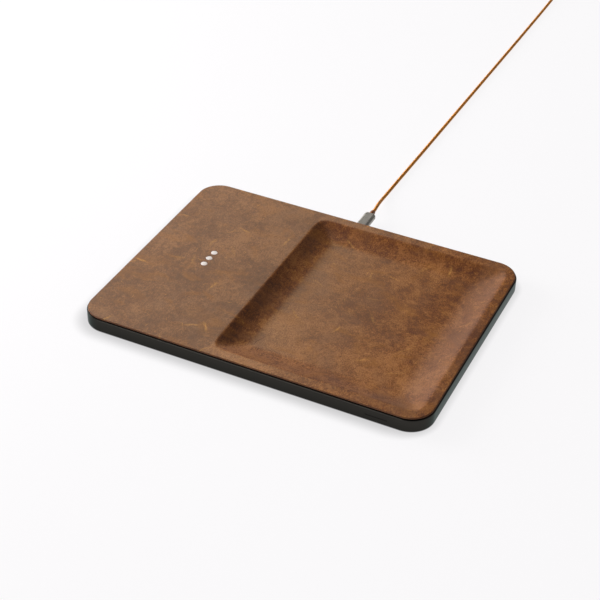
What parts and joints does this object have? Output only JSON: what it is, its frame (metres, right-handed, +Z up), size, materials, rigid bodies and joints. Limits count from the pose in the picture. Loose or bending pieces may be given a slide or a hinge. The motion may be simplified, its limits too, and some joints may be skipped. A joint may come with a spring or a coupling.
{
  "type": "wireless charging pad",
  "caption": "Low leather-topped wireless charging pad: a flat landing zone beside a shallow catch-all tray in a slim dark metal rim, with a detachable braided USB-C cable.",
  "frame": {"origin": "on the table, under the centre of the pad's outline, at the underside of the feet", "axes": "+X along the long side towards the tray, +Y to the rear edge with the USB-C socket, +Z up"},
  "size_m": [0.258, 0.7117, 0.0114],
  "materials": {
    "leather": "distressed oiled leather, satin",
    "dot": "matt off-white inlay",
    "deck_plastic": "moulded, matt",
    "rim_metal": "fine satin dark coating",
    "base_plastic": "moulded, fine texture",
    "screw_steel": "plain",
    "foot_rubber": "matt",
    "coil_wire": "enamelled copper wire",
    "ferrite": "matt",
    "carrier_plastic": "moulded, matt",
    "circuit_board": "solder mask, gloss",
    "chip_plastic": "moulded, matt",
    "component": "plain",
    "can_steel": "tinned sheet",
    "socket_steel": "drawn sheet",
    "contact_plastic": "moulded, matt",
    "plug_metal": "bead-blasted, anodised grey",
    "plug_steel": "drawn sheet",
    "collar": "copper-brown, satin",
    "cord_braid": "woven braid",
    "tie_strap": "hook and loop"
  },
  "bodies": {
    "pad": {"leather_cover": "leather", "alignment_dot_front": "dot", "alignment_dot_middle": "dot", "alignment_dot_rear": "dot", "top_deck": "deck_plastic", "rim_frame": "rim_metal", "base_plate": "base_plastic", "base_screws": "screw_steel", "foot_front_left": "foot_rubber", "foot_front_right": "foot_rubber", "foot_rear_left": "foot_rubber", "foot_rear_right": "foot_rubber", "coil_front": "coil_wire", "coil_middle": "coil_wire", "coil_rear": "coil_wire", "coil_leads": "coil_wire", "ferrite_plate": "ferrite", "coil_carrier": "carrier_plastic", "main_board": "circuit_board", "board_screws": "screw_steel", "controller_chip": "chip_plastic", "power_parts": "component", "small_parts": "component", "shield_can": "can_steel", "usb_socket_shell": "socket_steel", "usb_socket_tongue": "contact_plastic"},
    "cable": {"plug_housing": "plug_metal", "plug_core": "contact_plastic", "plug_shell": "plug_steel", "plug_insert": "contact_plastic", "plug_collar": "collar", "cable_run": "cord_braid", "cable_coil": "cord_braid", "cable_tie": "tie_strap", "cable_tail": "cord_braid", "free_plug_housing": "plug_metal", "free_plug_core": "contact_plastic", "free_plug_shell": "plug_steel", "free_plug_insert": "contact_plastic", "free_plug_collar": "collar"}
  },
  "joints": [
    {"name": "cable_unplug", "type": "slide", "parent": "pad", "child": "cable", "axis": [0, 1, 0], "range_m": [0, 0.012]}
  ]
}
